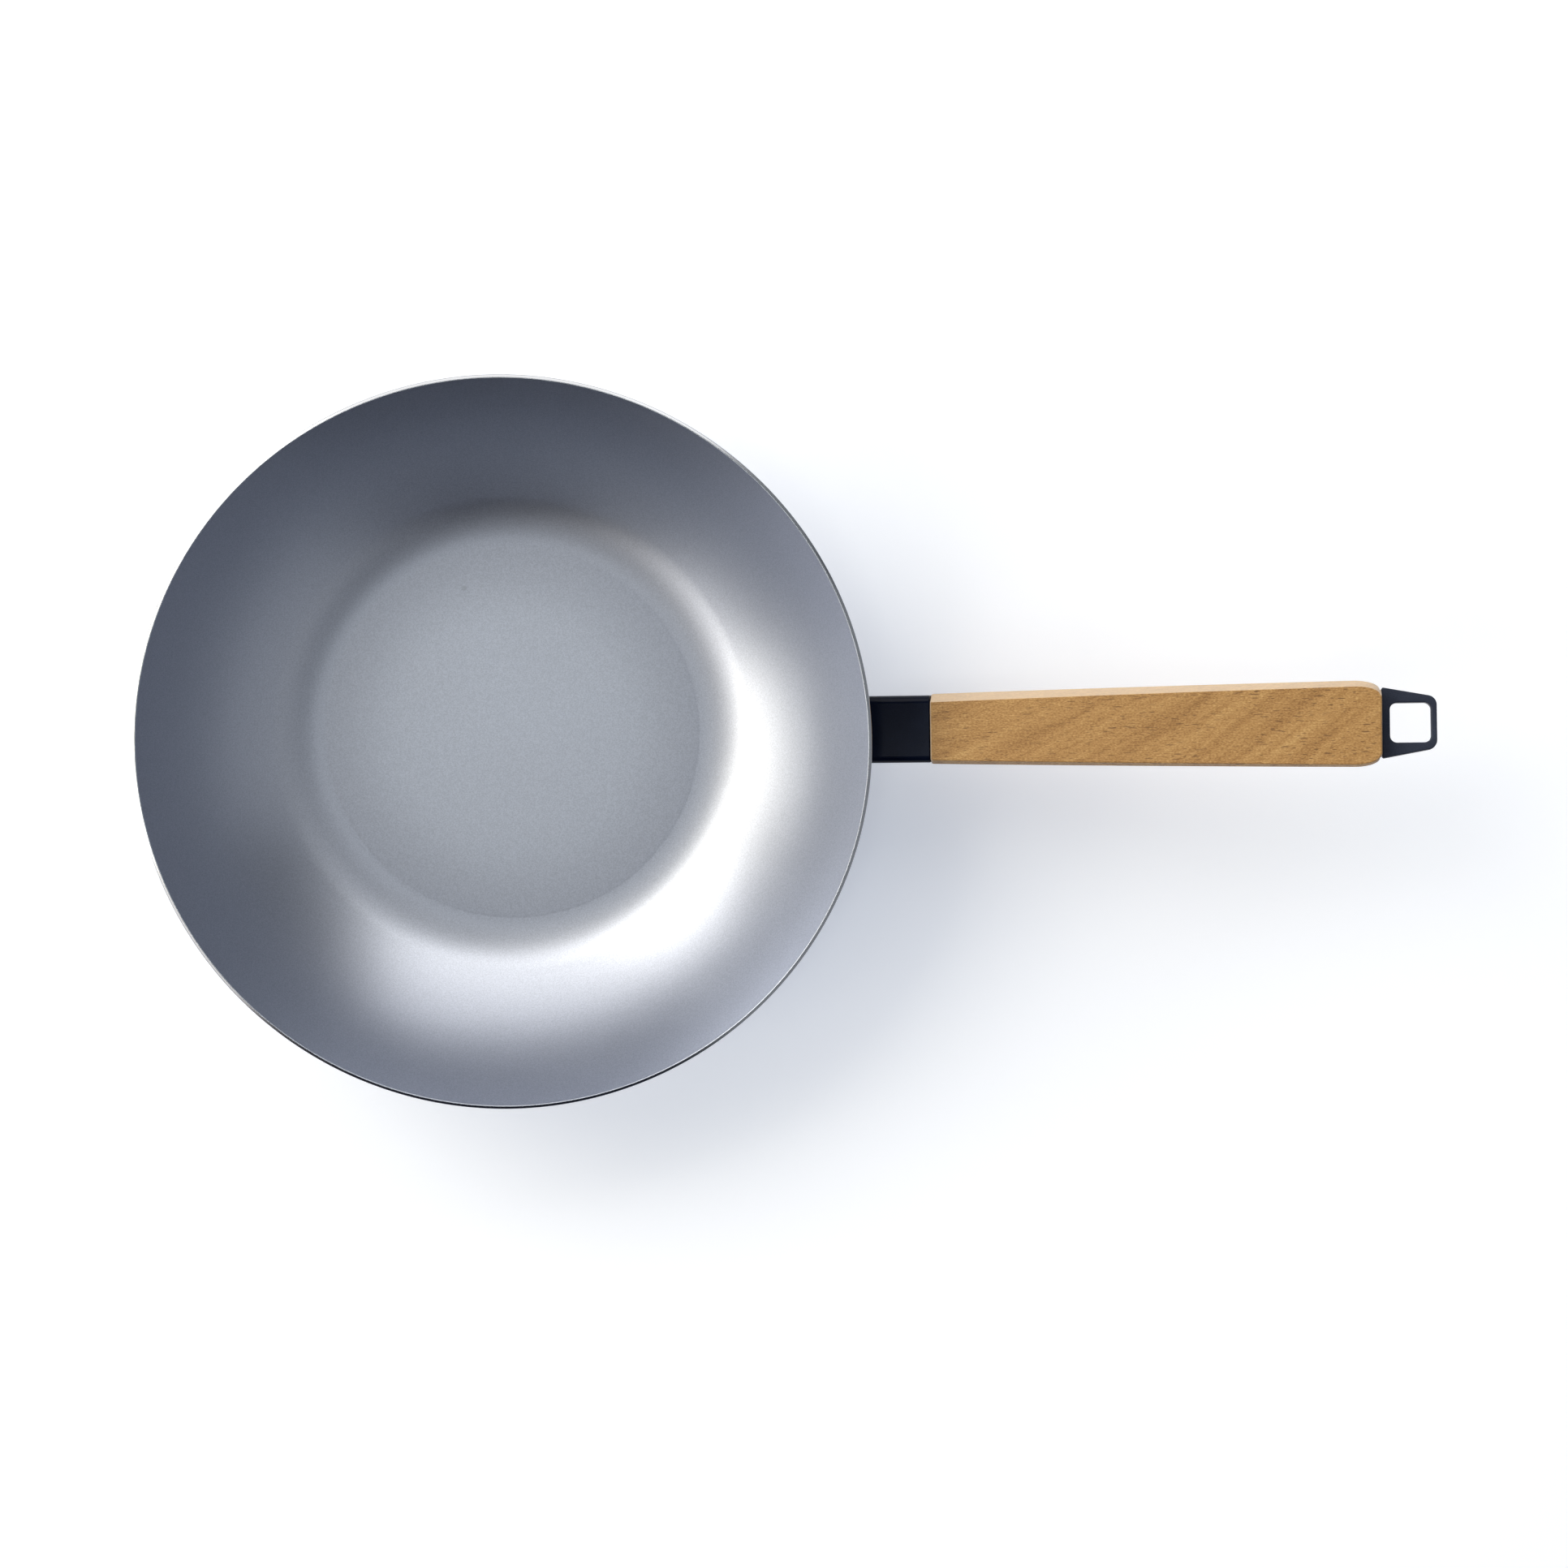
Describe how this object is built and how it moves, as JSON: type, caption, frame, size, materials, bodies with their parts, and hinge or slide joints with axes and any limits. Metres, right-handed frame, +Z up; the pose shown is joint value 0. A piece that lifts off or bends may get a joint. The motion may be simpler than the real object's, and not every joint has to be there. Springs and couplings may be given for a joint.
{
  "type": "wok",
  "caption": "Flat-bottomed steel wok with a flared wall, a rising wooden grip clamped on a welded neck, and a flat hanging loop that screws in behind the grip.",
  "frame": {"origin": "centre of the underside of the flat base, on the bowl's axis", "axes": "+Z up along the bowl's axis, +X towards the handle"},
  "size_m": [0.5297, 0.3, 0.0834],
  "materials": {
    "bare_steel": "satin, fine speckled grain",
    "coated_steel": "semi-gloss blue-black coat",
    "bright_steel": "zinc-plated",
    "beech": "oiled, short dark pores along the grain",
    "loop_coat": "satin blue-black coat"
  },
  "bodies": {
    "pan": {"wok_bowl": "bare_steel", "saddle_plate": "coated_steel", "plug_weld_1": "coated_steel", "plug_weld_2": "coated_steel", "plug_weld_3": "coated_steel", "plug_weld_4": "coated_steel", "neck_tube": "coated_steel", "neck_weld": "coated_steel", "end_plate": "coated_steel", "weld_nut": "bright_steel", "locating_pin_left": "bright_steel", "locating_pin_right": "bright_steel"},
    "grip": {"grip": "beech"},
    "washers": {"flat_washer": "bright_steel", "spring_washer": "bright_steel"},
    "loop": {"hanging_loop": "loop_coat", "tie_rod": "bright_steel"}
  },
  "joints": [
    {"name": "grip_pull", "type": "slide", "parent": "pan", "child": "grip", "axis": [0.9816, 0, 0.1908], "range_m": [0, 0.06]},
    {"name": "loop_travel", "type": "slide", "parent": "grip", "child": "washers", "axis": [0.9816, 0, 0.1908], "range_m": [0, 0.006]},
    {"name": "loop_turn", "type": "hinge", "parent": "washers", "child": "loop", "pos_m": [0.177, 0, 0.038], "axis": [0.9816, 0, 0.1908], "range_deg": [0, 2160]}
  ],
  "couplings": [
    {"joint": "loop_turn", "follows": "loop_travel", "rad_per_m": 6283.2}
  ]
}
